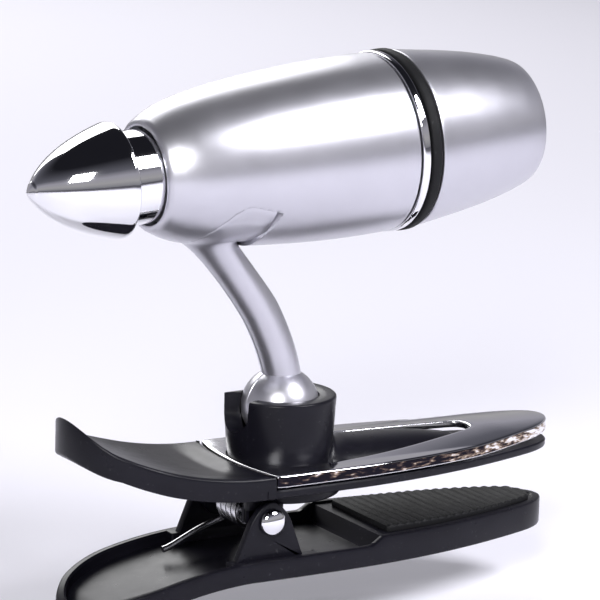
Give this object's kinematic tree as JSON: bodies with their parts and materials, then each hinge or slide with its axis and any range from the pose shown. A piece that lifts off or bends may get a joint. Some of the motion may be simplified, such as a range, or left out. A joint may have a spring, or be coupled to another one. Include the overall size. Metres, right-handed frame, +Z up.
{
  "type": "clip on reading lamp",
  "caption": "Small battery reading lamp: a bullet-shaped light head on a curved arm, held by a ball joint on a sprung clip.",
  "frame": {"origin": "centre of the gripping face of the upper jaw's pad", "axes": "+Z up out of the clip towards the light head, +X towards the tip of the jaws, Y along the clip's hinge pin"},
  "size_m": [0.0871, 0.0264, 0.0817],
  "materials": {
    "satin_silver": "satin silver paint",
    "bright_chrome": "mirror plated",
    "black_plastic": "smooth black, softly glossy",
    "inner_plastic": "moulded, plain",
    "rubber": "matt, ribbed where it grips",
    "spring_steel": "drawn wire",
    "cell_steel": "nickel plated",
    "brass": "plated contact",
    "board_green": "solder mask",
    "phosphor": "cast resin over the chip",
    "clear_lens": "clear, polished"
  },
  "bodies": {
    "clip_base": {"upper_jaw": "black_plastic", "chrome_cover": "bright_chrome", "ball_socket": "black_plastic", "socket_screw": "spring_steel", "upper_pad": "rubber", "hinge_pin": "bright_chrome", "pin_cap": "spring_steel", "torsion_spring": "spring_steel"},
    "lower_clip": {"lower_jaw": "black_plastic", "lower_pad": "rubber"},
    "ball_yaw": {"friction_spring": "spring_steel"},
    "ball_pitch": {"friction_cup": "inner_plastic"},
    "head": {"arm": "satin_silver", "arm_screw": "spring_steel", "body_shell": "satin_silver", "switch_body": "inner_plastic", "battery_sleeve": "inner_plastic", "cell_1": "cell_steel", "cell_2": "cell_steel", "cell_3": "cell_steel", "contact_spring": "brass", "contact_strip": "brass", "led_board": "board_green", "led": "phosphor", "chrome_ring": "bright_chrome", "seal_ring": "rubber", "button_spring": "spring_steel"},
    "button": {"nose_button": "bright_chrome", "switch_plunger": "brass"},
    "lens_carrier": {"reflector": "bright_chrome", "lens": "clear_lens"},
    "cap": {"front_cap": "satin_silver"}
  },
  "joints": [
    {"name": "clip_open", "type": "hinge", "parent": "clip_base", "child": "lower_clip", "pos_m": [-0.0353, 0, -0.0032], "axis": [0, 1, 0], "range_deg": [-6.8, 22], "stiffness_Nm_per_rad": 0.25, "springref_deg": -40.11, "deforming": ["torsion_spring"]},
    {"name": "head_yaw", "type": "hinge", "parent": "clip_base", "child": "ball_yaw", "pos_m": [-0.029, 0, 0.0111], "axis": [0, 0, 1], "continuous": true},
    {"name": "head_pitch", "type": "hinge", "parent": "ball_yaw", "child": "ball_pitch", "pos_m": [-0.029, 0, 0.0111], "axis": [0, 1, 0], "range_deg": [-25, 25]},
    {"name": "head_roll", "type": "hinge", "parent": "ball_pitch", "child": "head", "pos_m": [-0.029, 0, 0.0111], "axis": [1, 0, 0], "range_deg": [-25, 25]},
    {"name": "nose_press", "type": "slide", "parent": "head", "child": "button", "axis": [0.998, 0, 0.0628], "range_m": [0, 0.002], "stiffness_N_per_m": 400, "springref_m": -0.002, "deforming": ["button_spring"]},
    {"name": "cap_travel", "type": "slide", "parent": "head", "child": "lens_carrier", "axis": [0.998, 0, 0.0628], "range_m": [0, 0.002]},
    {"name": "cap_turn", "type": "hinge", "parent": "lens_carrier", "child": "cap", "pos_m": [-0.03129, 0, 0.04743], "axis": [0.998, 0, 0.0628], "range_deg": [0, 722]}
  ],
  "couplings": [
    {"joint": "cap_turn", "follows": "cap_travel", "rad_per_m": 6283.2}
  ]
}
